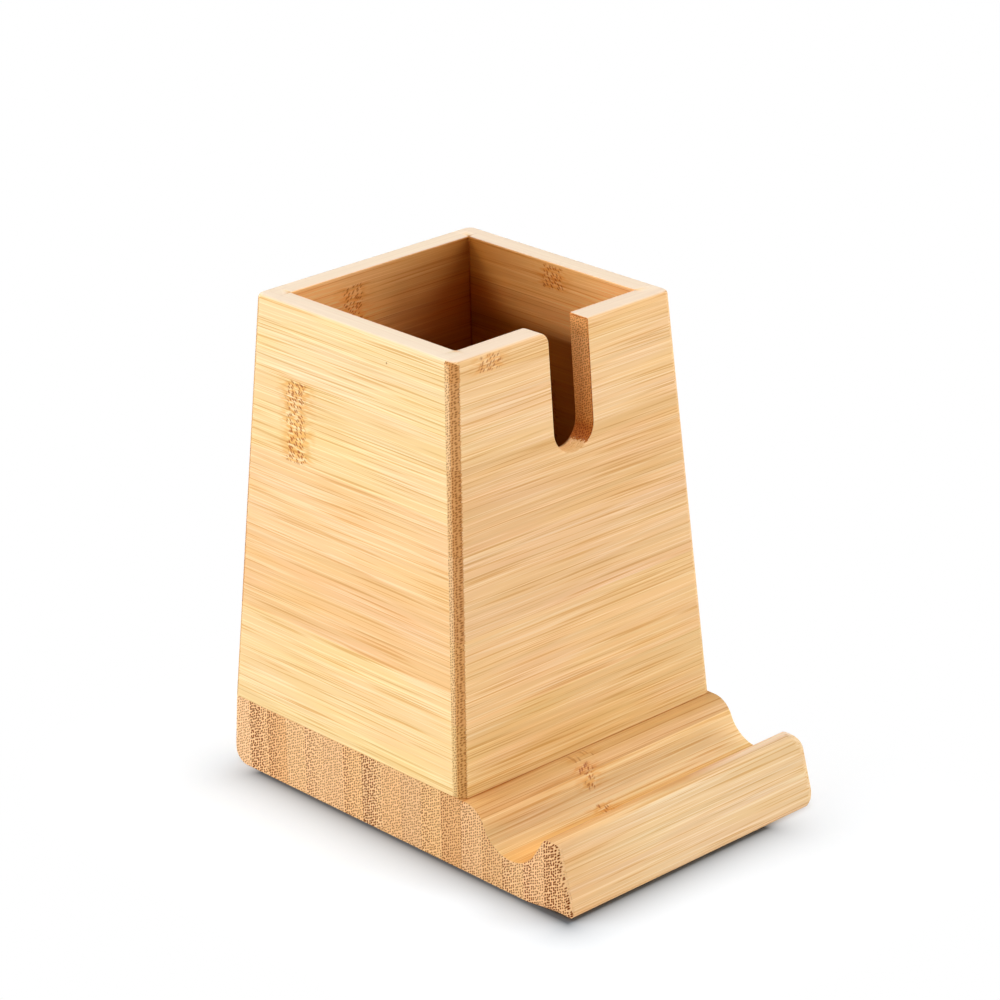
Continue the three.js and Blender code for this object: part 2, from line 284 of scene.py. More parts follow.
def stave(name, back, front):
    """One stave: its end face is a grid over (y, z), drawn out along X to both ends.

    The columns stand where the outline has its points, and the rows crowd to the top and the
    underside. An end's x is half the width less the rounding of the upright back corners, of the
    leaning front ones, of the lip's end and foot, which are parts of ellipses, and of the end's
    own edges. The back corners sharpen from the cup's radius at the top to the worn corner below.
    The foot's rounding fades out behind the crest, and that of the end's upper edge on it.
    """
    top_line, under_line = upper_line(), lower_line()
    crowded = 1 - np.cos(np.linspace(0, math.pi / 2, 10))
    y = np.concatenate([top_line[:, 0], under_line[:, 0], np.linspace(back, front, 9),
                        back_y - cup_corner * crowded, front_y + 6 * crowded])
    y = np.unique(np.round(y[(y <= back) & (y >= front)], 4))
    top, steep = height_on(top_line, y)
    under, under_steep = height_on(under_line, y)
    near_top = np.array([7, 5.5, 4.2, 3, 2.1, 1.4, 0.95, 0.62, 0.45, 0.3, 0.18, 0.09, 0.03, 0])
    near_top = near_top[:, None]
    near_under = np.array([0, 0.02, 0.07, 0.15, 0.25, 0.4, 0.7, 1.1, 1.6, 2.2, 2.9, 3.6, 4.2])
    near_under = near_under[:, None]
    fit = (top - under) / (near_top[0] * steep + near_under[-1] * under_steep + 0.01)
    fit = np.clip(fit, 0, 1)
    z = np.concatenate([under + near_under * under_steep * fit, top - near_top * steep * fit])
    below_top = np.concatenate([np.full_like(near_under, 9), near_top])
    above_under = np.concatenate([near_under, np.full_like(near_top, 9)])
    y = np.broadcast_to(y, z.shape)
    face_y = front_y + np.maximum(z - front_edge, 0) * math.tan(lip_lean)
    sharper = np.clip((z - worn_height) / (base_thickness - worn_height), 0, 1)
    corner = worn_corner + (cup_corner - worn_corner) * sharper
    plain = rounding(corner, back_y - y) + fit * rounding(under_ease, above_under)
    in_lip = back < groove_y
    to_lip = np.clip((crest_y + feet_behind - y) / feet_fade, 0, 1)
    crisp = np.clip((y - crest_y) / crest_fade, 0, 1)
    plain = plain + fit * crisp * rounding(end_ease, below_top)
    ends = []
    for side, (length, height) in lip_ends.items():
        drawn = rounding(rest_corners[side], y - face_y)
        drawn = drawn + in_lip * length / height * rounding(height, base_thickness - z)
        drawn = drawn + to_lip * rounding(lip_feet[side], z)
        drawn = np.minimum(drawn, most_drawn) + plain
        ends.append(np.stack([side * (foot_width / 2 - drawn), y, z], -1).reshape(-1, 3))
    rows, columns = z.shape
    index = np.arange(rows * columns).reshape(rows, columns)
    face = np.stack([index[:-1, :-1], index[:-1, 1:], index[1:, 1:], index[1:, :-1]], -1)
    face = face.reshape(-1, 4)
    loop = np.concatenate([index[0], index[1:, -1], index[-1, -2::-1], index[-2:0:-1, 0]])
    left, right = ends
    support = (0.6, 0, 0)  # A loop this far in from each end keeps the shading of the sides flat.
    points = np.concatenate([left, right, left[loop] + support, right[loop] - support])
    count, turn = len(left), len(loop)
    rings = [loop, 2 * count + np.arange(turn), 2 * count + turn + np.arange(turn), count + loop]
    sides = [np.stack([a, np.roll(a, -1), np.roll(b, -1), b], -1)
             for a, b in zip(rings, rings[1:])]
    return closed_piece(name, points, np.concatenate([face, face + count, *sides]))


def set_steps(ramp, codes):
    """Gives a colour ramp plain steps of one width, one for each hex colour."""
    ramp.interpolation = "CONSTANT"
    while len(ramp.elements) < len(codes):
        ramp.elements.new(1)
    for i, (element, code) in enumerate(zip(ramp.elements, codes)):
        element.position = i / len(codes)
        element.color = linear(code)


# Level faces above this height are the cup's rim.
rim_from = 117.0


def bamboo(name, grain, layout, marks=()):
    """Laminated bamboo, sanded fine and sealed with a satin lacquer.

    In the board's own axes a point is (along the grain, across the strip, through the layers), in
    millimetres. Long faces show the fibres as lines: noise drawn out about a hundred times along
    the grain. Where a face cuts across the grain the fibre bundles show as dark dots, 0.3 to
    0.5 mm wide and 0.5 to 0.7 mm apart, one to each cell of a cellular pattern. The nodes of the
    cane are patches of short slanting strokes in a paler ground, with a comb of orange fibres on
    either side.

    The layout gives what differs between the staves and the boards: the board's own axes, the
    tones, the crowding, spacing and depth of the dots, a shift for each layer, and the joints.
    """
    material = bpy.data.materials.new(name)
    material.use_nodes = True
    tree = material.node_tree
    shader = tree.nodes["Principled BSDF"]
    coordinates = node(tree, "ShaderNodeTexCoord").outputs
    place = node(tree, "ShaderNodeVectorMath", {0: coordinates["Object"], "Scale": 1 / MM},
                 operation="SCALE")
    x, y, z = node(tree, "ShaderNodeSeparateXYZ", {0: place}).outputs
    facing = node(tree, "ShaderNodeSeparateXYZ", {0: coordinates["Normal"]}).outputs
    along = {"X": x, "Y": y}[grain]
    wood = layout(tree, x, y, z)
    across, through = wood["across"], wood["through"]

    def tinted(colour, share, tint):
        """A colour multiplied by a tint, as far as the share says."""
        tint = node(tree, "ShaderNodeMix", {0: share, 4: (1, 1, 1), 5: tint}, data_type="VECTOR")
        return node(tree, "ShaderNodeVectorMath", {0: colour, 1: tint}, operation="MULTIPLY")

    # The fibres wander a little, so the lines aren't ruled.
    local = node(tree, "ShaderNodeCombineXYZ", {0: along, 1: across, 2: through})
    slow = node(tree, "ShaderNodeVectorMath", {0: local, 1: (0.012, 0.03, 0.03)},
                operation="MULTIPLY")
    wander = node(tree, "ShaderNodeTexNoise", {"Vector": slow, "Scale": 1.0, "Detail": 1.0})
    wander = node(tree, "ShaderNodeVectorMath", {0: wander.outputs["Color"], 1: (0.5, 0.5, 0.5)},
                  operation="SUBTRACT")
    wander = node(tree, "ShaderNodeVectorMath", {0: wander, 1: (0, 1.1, 1.1)},
                  operation="MULTIPLY")
    fibre_place = node(tree, "ShaderNodeVectorMath", {0: local, 1: wander}, operation="ADD")
    fibre_place = node(tree, "ShaderNodeVectorMath", {0: fibre_place, 1: wood["layer"]},
                       operation="ADD")

    def lines(along_scale, across_scale, detail, seed):
        """Noise drawn out along the grain; the scales are in waves per millimetre."""
        stretched = node(tree, "ShaderNodeVectorMath",
                         {0: fibre_place, 1: (along_scale, across_scale, across_scale),
                          2: (seed, seed, seed)}, operation="MULTIPLY_ADD")
        return node(tree, "ShaderNodeTexNoise", {"Vector": stretched, "Scale": 1.0,
                                                 "Detail": detail, "Roughness": 0.6})

    # Soft clouds of rose and yellow, bands 2 mm wide, then pale and deep lines 0.3 mm wide.
    cloud = node(tree, "ShaderNodeMapRange", {"Value": lines(0.03, 0.13, 1.0, 3.7),
                                              "From Min": 0.35, "From Max": 0.65})
    colour = tinted(wood["tone"], cloud, (1.0, 1.0, 0.91))
    rose = node(tree, "ShaderNodeMapRange", {"Value": lines(0.025, 0.16, 1.0, 9.1),
                                             "From Min": 0.45, "From Max": 0.65})
    colour = tinted(colour, rose, (1.0, 0.98, 1.02))
    band = node(tree, "ShaderNodeMapRange", {"Value": lines(0.008, 0.6, 2.0, 0.0),
                                             "From Min": 0.35, "From Max": 0.65,
                                             "To Min": 0.96, "To Max": 1.04})
    colour = node(tree, "ShaderNodeVectorMath", {0: colour, "Scale": band}, operation="SCALE")
    fine = lines(0.022, 2.8, 1.2, 5.3)
    pale = node(tree, "ShaderNodeMapRange", {"Value": fine, "From Min": 0.54, "From Max": 0.63,
                                             "To Max": 0.9})
    colour = tinted(colour, pale, (1.10, 1.23, 1.48))
    deep = node(tree, "ShaderNodeMapRange", {"Value": lines(0.03, 2.8, 0.6, 11.9),
                                             "From Min": 0.44, "From Max": 0.32})
    colour = tinted(colour, deep, (0.84, 0.68, 0.44))
    fleck = node(tree, "ShaderNodeTexVoronoi", {"Vector": fibre_place, "Scale": 0.05})
    fleck = node(tree, "ShaderNodeMapRange", {"Value": fleck, "From Min": 0.016,
                                              "From Max": 0.009})
    colour = tinted(colour, fleck, (0.50, 0.30, 0.15))

    # Nodes of the cane: each mark is its middle and half width along the grain, its limits from
    # strip edge to strip edge, and its strength.
    for middle, half_width, low, high, strength in marks:
        shift = node(tree, "ShaderNodeMath", {0: along, 1: middle}, operation="SUBTRACT")
        shift = node(tree, "ShaderNodeMath", {0: shift}, operation="ABSOLUTE")
        ragged = node(tree, "ShaderNodeMath", {0: lines(0.25, 0.5, 1.0, 7.7), 1: 4.0, 2: shift},
                      operation="MULTIPLY_ADD")
        inside = node(tree, "ShaderNodeMapRange", {"Value": ragged, "From Min": half_width + 2.4,
                                                   "From Max": half_width + 1.6})
        beside = node(tree, "ShaderNodeMapRange", {"Value": ragged, "From Min": half_width + 6.0,
                                                   "From Max": half_width + 1.8})
        above = node(tree, "ShaderNodeMapRange", {"Value": wood["strip"], "From Min": low - 0.1,
                                                  "From Max": low + 0.5})
        below = node(tree, "ShaderNodeMapRange", {"Value": wood["strip"], "From Min": high + 0.1,
                                                  "From Max": high - 0.5})
        limits = node(tree, "ShaderNodeMath", {0: above, 1: below}, operation="MULTIPLY")
        limits = node(tree, "ShaderNodeMath", {0: limits, 1: strength}, operation="MULTIPLY")
        inside = node(tree, "ShaderNodeMath", {0: inside, 1: limits}, operation="MULTIPLY")
        beside = node(tree, "ShaderNodeMath", {0: beside, 1: limits}, operation="MULTIPLY")
        comb = node(tree, "ShaderNodeMapRange", {"Value": lines(0.4, 1.9, 0.5, 2.9),
                                                 "From Min": 0.40, "From Max": 0.56})
        comb = node(tree, "ShaderNodeMath", {0: comb, 1: beside}, operation="MULTIPLY")
        colour = tinted(colour, comb, (0.92, 0.70, 0.38))
        turned = node(tree, "ShaderNodeVectorRotate", {"Vector": fibre_place, "Angle": -0.75},
                      rotation_type="Z_AXIS")
        turned = node(tree, "ShaderNodeVectorMath", {0: turned, 1: (0.68, 1.45, 1.0)},
                      operation="MULTIPLY")
        stroke = node(tree, "ShaderNodeTexVoronoi", {"Vector": turned, "Scale": 1.0,
                                                     "Randomness": 0.95}, voronoi_dimensions="2D")
        stroke = node(tree, "ShaderNodeMapRange", {"Value": stroke, "From Min": 0.40,
                                                   "From Max": 0.20})
        stroke = node(tree, "ShaderNodeMath", {0: stroke, 1: inside}, operation="MULTIPLY")
        colour = tinted(colour, inside, (1.03, 1.08, 1.16))
        colour = tinted(colour, stroke, (0.56, 0.26, 0.06))

    # Faces level with the rim are paler: partly sanded end grain, partly a painted highlight of
    # the light from above.
    up = node(tree, "ShaderNodeMapRange", {"Value": facing[2], "From Min": 0.70, "From Max": 0.98,
                                           "To Max": 0.8})
    at_rim = node(tree, "ShaderNodeMath", {0: z, 1: rim_from}, operation="GREATER_THAN")
    up = node(tree, "ShaderNodeMath", {0: up, 1: at_rim}, operation="MULTIPLY")
    colour = node(tree, "ShaderNodeMix", {0: up, 6: colour, 7: linear("#FCEAD6")},
                  data_type="RGBA")

    # Cut ends: bundles as dots in slanting rows, crowded towards each layer's skin side, with
    # pale pith between them.
    section = node(tree, "ShaderNodeMath", {0: through, 1: 0.5, 2: across},
                   operation="MULTIPLY_ADD")
    section = node(tree, "ShaderNodeCombineXYZ", {0: section, 1: through})
    section = node(tree, "ShaderNodeVectorMath", {0: section, "Scale": wood["fineness"]},
                   operation="SCALE")
    section = node(tree, "ShaderNodeVectorMath", {0: section, 1: wood["layer"]}, operation="ADD")
    cell = node(tree, "ShaderNodeTexVoronoi", {"Vector": section, "Scale": 1.0,
                                               "Randomness": 0.48}, voronoi_dimensions="2D")
    size = node(tree, "ShaderNodeMapRange", {"Value": wood["crowd"], "From Max": 1.2,
                                             "To Min": 0.25, "To Max": 0.36})
    dot = node(tree, "ShaderNodeMath", {0: cell, 1: size}, operation="SUBTRACT")
    dot = node(tree, "ShaderNodeMapRange", {"Value": dot, "From Min": 0.08, "From Max": -0.08})
    dot = node(tree, "ShaderNodeMath", {0: dot, 1: wood["dot_depth"]}, operation="MULTIPLY")
    pith = node(tree, "ShaderNodeMapRange", {"Value": cell, "From Min": 0.40, "From Max": 0.56,
                                             "To Max": 0.8})
    cut = tinted(wood["cut_tone"], pith, (1.12, 1.22, 1.42))
    cut = tinted(cut, dot, (0.22, 0.06, 0.0))
    squareness = node(tree, "ShaderNodeMath", {0: facing["XY".index(grain)]}, operation="ABSOLUTE")
    if "corner" in wood:
        rounded = node(tree, "ShaderNodeMapRange", {"Value": squareness, "From Min": 0.998,
                                                    "From Max": 0.95})
        cut = tinted(cut, rounded, wood["corner"])

    # A face counts as cut by how square it stands to the grain, and the limit frays from cell to
    # cell. On faces that tilt up, and at sealed ends that look to the right, it has to be squarer.
    frayed = node(tree, "ShaderNodeMath", {0: cell, 1: 0.3, 2: squareness},
                  operation="MULTIPLY_ADD")
    tilted = node(tree, "ShaderNodeMath", {0: facing[2], 1: -0.5, 2: frayed},
                  operation="MULTIPLY_ADD")
    frayed = node(tree, "ShaderNodeMath", {0: frayed, 1: tilted}, operation="MINIMUM")
    if wood["sealed_right"]:
        to_right = node(tree, "ShaderNodeMath", {0: facing[0], 1: 0.0}, operation="GREATER_THAN")
        frayed = node(tree, "ShaderNodeMath", {0: to_right, 1: -0.62, 2: frayed},
                      operation="MULTIPLY_ADD")
    is_cut = node(tree, "ShaderNodeMapRange", {"Value": frayed, "From Min": 0.30,
                                               "From Max": 0.38})
    colour = node(tree, "ShaderNodeMix", {0: is_cut, 6: colour, 7: cut}, data_type="RGBA")

    # Joints are a dark hair line, deepest at the front board's foot, where it is painted shade in
    # the crease on the base.
    colour = tinted(colour, wood["joint"], (0.80, 0.54, 0.28))
    tree.links.new(colour.outputs[0], shader.inputs["Base Color"])

    # Satin lacquer: it sinks into the cut ends, and the fibres telegraph through it.
    rough = node(tree, "ShaderNodeMapRange", {"Value": fine, "To Min": 0.40, "To Max": 0.54})
    rough = node(tree, "ShaderNodeMath", {0: is_cut, 1: 0.12, 2: rough}, operation="MULTIPLY_ADD")
    tree.links.new(rough.outputs[0], shader.inputs["Roughness"])
    relief = node(tree, "ShaderNodeMix", {0: is_cut, 2: fine, 3: cell})
    bump = node(tree, "ShaderNodeBump", {"Height": relief, "Strength": 0.25, "Distance": 0.00008})
    tree.links.new(bump.outputs[0], shader.inputs["Normal"])
    shine = node(tree, "ShaderNodeMapRange", {"Value": is_cut, "To Min": 0.4, "To Max": 0.08})
    tree.links.new(shine.outputs[0], shader.inputs["Specular IOR Level"])
    shader.inputs["IOR"].default_value = 1.5
    return material


# The tone of each stave's cut end, from the back to the front, and how crowded its bundles are.
# Then the tones of the long faces, which show on the phone rest and inside the cup.
stave_cut_tones = ("#F5C692 #F1C087 #EAB67C #EDBF88 #EEC08A #EABC87 #EDBD83 #ECBF87 #E8B880 "
                   "#E4B681 #E8B97E #DEAA70 #E6B781 #E1B179 #E7B982 #E9B984 #E6B57D").split()
stave_crowds = (0.2, 1.25, 0.9, 0.45, 0.8, 0.4, 0.85, 1.3, 0.5, 0.5, 0.75, 0.7, 0.7, 0.7, 0.85,
                0.9, 1.3)
stave_tones = ("#F3CB96 #F0C48E #F3CB96 #F0C48E #F3CB96 #F0C48E #F3CB96 #F0C48E #F3CB96 #F0C48E "
               "#F3CB96 #DDA566 #E0AC70 #F8CE96 #F0BC78 #EEBD84 #EFC494").split()


def stave_layout(tree, x, y, z):
    """Across the strip is upright, and through the layers runs to the front.

    A stave's number is the whole part of its distance from the back, in stave widths, and its
    skin side, with the crowded bundles, looks to the back. The long faces carry painted shade that
    deepens a little towards the left end. The lip's inner side carries painted shade that gives
    way to painted light towards the right, and the floor of the cup carries deeper painted shade
    still.
    The cup's foot draws a joint line, which is painted shade in the crease.
    """
    back = node(tree, "ShaderNodeMath", {0: first_joint + stave_width, 1: y},
                operation="SUBTRACT")
    back = node(tree, "ShaderNodeMath", {0: back, 1: stave_width}, operation="DIVIDE")
    number = node(tree, "ShaderNodeMath", {0: back}, operation="FLOOR")
    share = node(tree, "ShaderNodeMath", {0: back}, operation="FRACT")
    position = node(tree, "ShaderNodeMath", {0: number, 1: 0.5}, operation="ADD")
    position = node(tree, "ShaderNodeMath", {0: position, 1: float(stave_count)},
                    operation="DIVIDE")

    def of_stave(codes):
        """A stave's own colour out of seventeen."""
        made = node(tree, "ShaderNodeValToRGB", {0: position})
        set_steps(made.color_ramp, codes)
        return made

    # How crowded a stave is goes through such a ramp too, as the strength of its red.
    reds = [f"#{round(150 * crowd):02X}0000" for crowd in stave_crowds]
    most = node(tree, "ShaderNodeSeparateColor", {0: of_stave(reds)}).outputs[0]
    crowd = node(tree, "ShaderNodeMapRange", {"Value": share, "From Min": 0.0, "From Max": 0.8,
                                              "To Min": 4.2, "To Max": 1.0})
    crowd = node(tree, "ShaderNodeMath", {0: crowd, 1: most}, operation="MULTIPLY")
    dot_depth = node(tree, "ShaderNodeMapRange", {"Value": crowd, "From Min": 0.2,
                                                  "From Max": 0.9, "To Min": 0.8})
    layer = node(tree, "ShaderNodeVectorMath", {0: (31.7, 17.3, 0.0), "Scale": number},
                 operation="SCALE")
    # The dark line at the cup's front foot is painted shade in the crease where the board stands.
    foot = node(tree, "ShaderNodeMath", {0: y, 1: foot_y}, operation="SUBTRACT")
    foot = node(tree, "ShaderNodeMath", {0: foot}, operation="ABSOLUTE")
    joint = node(tree, "ShaderNodeMapRange", {"Value": foot, "From Min": 0.26, "From Max": 0.08})
    top = node(tree, "ShaderNodeMath", {0: z, 1: base_thickness - 0.6}, operation="GREATER_THAN")
    joint = node(tree, "ShaderNodeMath", {0: joint, 1: top}, operation="MULTIPLY")
    # Painted light and shade: the long faces are shaded a little towards the left end, and the
    # lip's inner side is shaded, turning to painted light towards the right end.
    crest = node(tree, "ShaderNodeMapRange", {"Value": y, "From Min": crest_y - 2.0,
                                              "From Max": crest_y})
    trough = node(tree, "ShaderNodeMapRange", {"Value": y, "From Min": groove_y + 0.5,
                                               "From Max": groove_y - 3.5})
    lip_inside = node(tree, "ShaderNodeMath", {0: crest, 1: trough}, operation="MULTIPLY")
    lip_painted_light_and_shade = node(tree, "ShaderNodeMapRange", {"Value": x, "From Min": 3.0, "From Max": 22.0})
    lip_painted_light_and_shade = node(tree, "ShaderNodeMix", {0: lip_painted_light_and_shade, 4: (0.82, 0.70, 0.52),
                                            5: (1.23, 1.50, 2.15)}, data_type="VECTOR")
    tint = node(tree, "ShaderNodeMapRange", {"Value": x, "From Min": -36.0, "From Max": -12.0})
    tint = node(tree, "ShaderNodeMix", {0: tint, 4: (0.93, 0.88, 0.76), 5: (0.98, 1.04, 1.04)},
                data_type="VECTOR")
    tint = node(tree, "ShaderNodeMix", {0: lip_inside, 4: tint, 5: lip_painted_light_and_shade}, data_type="VECTOR")
    # The floor of the cup, inside its walls, carries painted shade.
    beside = node(tree, "ShaderNodeMath", {0: x}, operation="ABSOLUTE")
    behind = node(tree, "ShaderNodeMath", {0: y, 1: back_y - foot_width / 2},
                  operation="SUBTRACT")
    behind = node(tree, "ShaderNodeMath", {0: behind}, operation="ABSOLUTE")
    beside = node(tree, "ShaderNodeMath", {0: beside, 1: behind}, operation="MAXIMUM")
    painted_shade_under_cup = node(tree, "ShaderNodeMapRange", {"Value": beside,
                                                  "From Min": foot_width / 2 - 5.0,
                                                  "From Max": foot_width / 2 - 6.5})
    painted_shade_under_cup = node(tree, "ShaderNodeMath", {0: painted_shade_under_cup, 1: top}, operation="MULTIPLY")
    tint = node(tree, "ShaderNodeMix", {0: painted_shade_under_cup, 4: tint, 5: (0.70, 0.48, 0.28)},
                data_type="VECTOR")
    tone = node(tree, "ShaderNodeVectorMath", {0: of_stave(stave_tones), 1: tint},
                operation="MULTIPLY")
    return {"across": z, "through": y, "strip": y, "tone": tone,
            "cut_tone": of_stave(stave_cut_tones), "crowd": crowd, "fineness": 1.42,
            "dot_depth": dot_depth, "layer": layer, "joint": joint, "sealed_right": True}


# The cane's nodes on the rest lie one beside the other on three staves.
rest_marks = [(-5.5, 3.0, -27.4, -24.0, 0.5), (-7.0, 1.5, -31.8, -27.6, 0.9),
              (-8.2, 1.7, -39.0, -34.6, 0.9)]
stave_bamboo = bamboo("bamboo_staves_lacquered", "X", stave_layout, rest_marks)

for number, (back, front) in enumerate(zip(stave_edges, stave_edges[1:]), 1):
    piece = stave(f"stave_{number:02d}", back, front)
    piece.data.materials.append(stave_bamboo)
    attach(piece, "root")
    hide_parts(f"base_stave_{number:02d}")


# Cup
# Four bamboo boards 6 mm thick, with level grain. The front board's lips cover the front ends of
# the side boards, and the side boards' own lips cover the ends of the back board.

cup_height = 103.0
rim_z = base_thickness + cup_height
cup_middle_y = back_y - foot_width / 2
rim_width = 68.5
thickness, lap = 6.0, 3.2
rim_ease, inner_ease, foot_ease = 1.0, 0.35, 0.2
lean = math.atan2((foot_width - rim_width) / 2, cup_height)
slot_half, slot_depth, slot_middle = 6.15, 30.4, 0.75
slot_mouth = {-1: 2.6, 1: 0.45}
slot_ease = 0.3
column_gap = 0.2
row_reach = 1.25

# A board's two kinds of end, as columns: the gap to the corner's line, the turn round the corner,
# the extra depth of the outer face, and how deep the inner face lies. The columns between the
# ends keep the column gap from them, and plain rows start at the row reach times the rounding.
lipped = dict(
    gap=[thickness + 3, thickness + 0.5, thickness, thickness, cup_corner + 0.5]
    + [cup_corner] * 15,
    turn=[0] * 5 + list(np.radians(np.linspace(0, 90, 13))) + [math.pi / 2] * 2,
    deep=[0] * 18 + [0.4, lap - cup_corner],
    inner=[thickness] * 3 + [lap] * 17,
)
straight = dict(gap=[thickness + 3, thickness + 0.5, thickness, lap], turn=[0] * 4, deep=[0] * 4,
                inner=[thickness] * 4)


def half_size(z):
    """From the cup's middle to its outer face, at height z."""
    return (foot_width + (rim_width - foot_width) * (z - base_thickness) / cup_height) / 2


def slot_edge():
    """The top line of the front board: rim, mouth, down round the slot, mouth, rim.

    Gives points (u, z), the direction into the board at each, the edge's rounding, and how much
    of the board's lean the cut follows. The slot's end is a half circle, its mouth quarter ones.
    """
    end = rim_z - (slot_depth - slot_half) * math.cos(lean)
    rims, sides = {}, {}
    for side, radius in slot_mouth.items():
        middle = (slot_middle + side * (slot_half + radius), rim_z - radius)
        turn = np.linspace(math.pi / 2, 0 if side < 0 else math.pi, 9)
        out = np.stack([np.cos(turn), np.sin(turn)], 1)
        share = np.linspace(0, 1, 9)
        ease = rim_ease + (slot_ease - rim_ease) * (share if side < 0 else 1 + 0 * share)
        down = np.linspace(rim_z - radius, end, 6)[1:-1]
        jamb = np.stack([np.full(4, slot_middle + side * slot_half), down], 1)
        sides[side] = [np.concatenate([middle + radius * out, jamb]),
                       np.concatenate([-out, np.tile([side, 0.0], (4, 1))]),
                       np.concatenate([ease, np.full(4, slot_ease)]),
                       np.concatenate([share, np.ones(4)])]
        far = side * (rim_width / 2 - lipped["gap"][0] - column_gap)
        u = np.append(np.linspace(far, middle[0] + side * 1.5, 5), middle[0] + side * 0.3)
        rims[side] = [np.stack([u, np.full(6, rim_z)], 1), np.tile([0.0, -1.0], (6, 1)),
                      np.append(np.full(5, rim_ease), ease[0]), np.zeros(6)]
    turn = np.linspace(math.pi, 2 * math.pi, 29)
    out = np.stack([np.cos(turn), np.sin(turn)], 1)
    bottom = [(slot_middle, end) + slot_half * out, out, np.full(29, slot_ease), np.ones(29)]
    right = [part[::-1] for part in sides[1]], [part[::-1] for part in rims[1]]
    return [np.concatenate(parts) for parts in zip(rims[-1], sides[-1], bottom, *right)]


def plain_edge(first, last):
    """The top line of a board without a slot: the rim, straight between its two ends."""
    u = np.linspace(first["gap"][0] + column_gap - rim_width / 2,
                    rim_width / 2 - last["gap"][0] - column_gap, 6)
    return [np.stack([u, np.full(6, rim_z)], 1), np.tile([0.0, -1.0], (6, 1)),
            np.full(6, rim_ease), np.zeros(6)]


def board(name, first, last, place, has_slot):
    """A cup board: closed rings of rows, carried along the board from its left end to its right.

    A ring goes up the outer face, over the top line and down the inner face. Each edge is a
    quarter circle: a row comes in from the line by the rounding times one less the sine of its
    angle, and lies deeper by the rounding times one less the cosine. Round a lapped corner the
    outer face turns about an upright axis, the corner's radius inside both faces. A row that has
    drawn in turns about the same axis, on a radius that is smaller by as much.
    """
    edge, into, ease, cut = slot_edge() if has_slot else plain_edge(first, last)
    free_count = len(edge)
    left = {key: np.array(first[key], float)[::-1] for key in first}
    right = {key: np.array(last[key], float) for key in last}
    lefts, rights = len(left["gap"]), len(right["gap"])

    def spread(a, middle, b):
        """The values of the left end's columns, those between, and the right end's."""
        return np.concatenate([np.broadcast_to(a, (lefts,) + np.shape(middle)[1:]), middle,
                               np.broadcast_to(b, (rights,) + np.shape(middle)[1:])])

    free = spread(0, np.ones(free_count), 0) > 0
    side = spread(-1, np.zeros(free_count), 1)
    gap = spread(left["gap"], np.zeros(free_count), right["gap"])
    turn = spread(left["turn"], np.zeros(free_count), right["turn"])
    deep = spread(left["deep"], np.zeros(free_count), right["deep"])
    inner = spread(left["inner"], np.full(free_count, thickness), right["inner"])
    edge = spread((0, rim_z), edge, (0, rim_z))
    into = spread((0, -1), into, (0, -1))
    ease = spread(rim_ease, ease, rim_ease)
    cut = spread(0, cut, 0) * math.tan(lean)
    is_lip = inner < thickness
    near_joint = np.clip((gap - thickness) / 0.5, 0, 1)
    inner_round = np.where(is_lip, ease, inner_ease * np.where(free, 1, near_joint))
    feet = half_size(base_thickness) - gap
    foot = np.linspace(column_gap - feet[lefts - 1], feet[-rights] - column_gap, free_count)
    foot = spread(0, foot, 0)
    ground = np.stack([foot, np.full_like(foot, base_thickness)], 1)
    rows = []

    def add(line, drawn, depth):
        """One row: where it runs in the board's plane, how far it has drawn in, and its depth."""
        u, z = line.T
        z = z - depth * cut
        bent = gap - (cup_corner - drawn) * np.sin(turn)
        u = np.where(free, u, side * (half_size(z) - bent))
        rows.append(np.stack(place(u, half_size(z) - depth) + (z,), -1))

    def outside(drawn):
        """How deep the outer face lies, once it has drawn in."""
        return drawn + (cup_corner - drawn) * (1 - np.cos(turn)) + deep

    def in_from(line, way, distance):
        """A line moved into the board, the given way."""
        return line + way * np.asarray(distance * np.ones(len(line)))[:, None]

    up = np.array([0, 1])
    quarter = np.radians(np.linspace(0, 90, 8))
    levels = [0, 0.1, 0.3, 0.5, 0.7, 0.9, 1]
    low = in_from(ground, up, foot_ease * row_reach)
    high = [in_from(edge, into, rounded * row_reach) for rounded in (ease, inner_round)]
    for angle in quarter[::-1]:
        drawn = foot_ease * (1 - np.cos(angle))
        add(in_from(ground, up, foot_ease * (1 - np.sin(angle))), drawn, outside(drawn))
    for level in levels:
        add(low + (high[0] - low) * level, 0, outside(0))
    for angle in quarter:
        drawn = ease * (1 - np.cos(angle))
        add(in_from(edge, into, ease * (1 - np.sin(angle))), drawn, outside(drawn))
    for angle in quarter[::-1]:
        drawn = inner_round * (1 - np.cos(angle))
        add(in_from(edge, into, inner_round * (1 - np.sin(angle))), drawn,
            inner - np.where(is_lip, 0, drawn))
    for level in levels[::-1]:
        add(low + (high[1] - low) * level, 0, inner)
    for angle in quarter:
        drawn = foot_ease * (1 - np.cos(angle)) * is_lip
        add(in_from(ground, up, foot_ease * (1 - np.sin(angle))), drawn, inner)
    points = np.array(rows)
    count, columns = points.shape[:2]
    index = np.arange(count * columns).reshape(count, columns)
    below = np.roll(index, -1, 0)
    skin = np.stack([index[:, :-1], index[:, 1:], below[:, 1:], below[:, :-1]], -1).reshape(-1, 4)
    pair = np.arange(count // 2 - 1)
    caps = [np.stack([index[pair, k], index[pair + 1, k],
                      index[-2 - pair, k], index[-1 - pair, k]], -1) for k in (0, -1)]
    return closed_piece(name, points.reshape(-1, 3), np.concatenate([skin, *caps]))


# Each board's ends at the left and the right, seen from outside, and where its plane stands.
boards = {
    "front": (lipped, lipped, lambda u, out: (u, cup_middle_y - out)),
    "right": (straight, lipped, lambda u, out: (out, cup_middle_y + u)),
    "back": (straight, straight, lambda u, out: (-u, cup_middle_y + out)),
    "left": (lipped, straight, lambda u, out: (-out, cup_middle_y - u)),
}

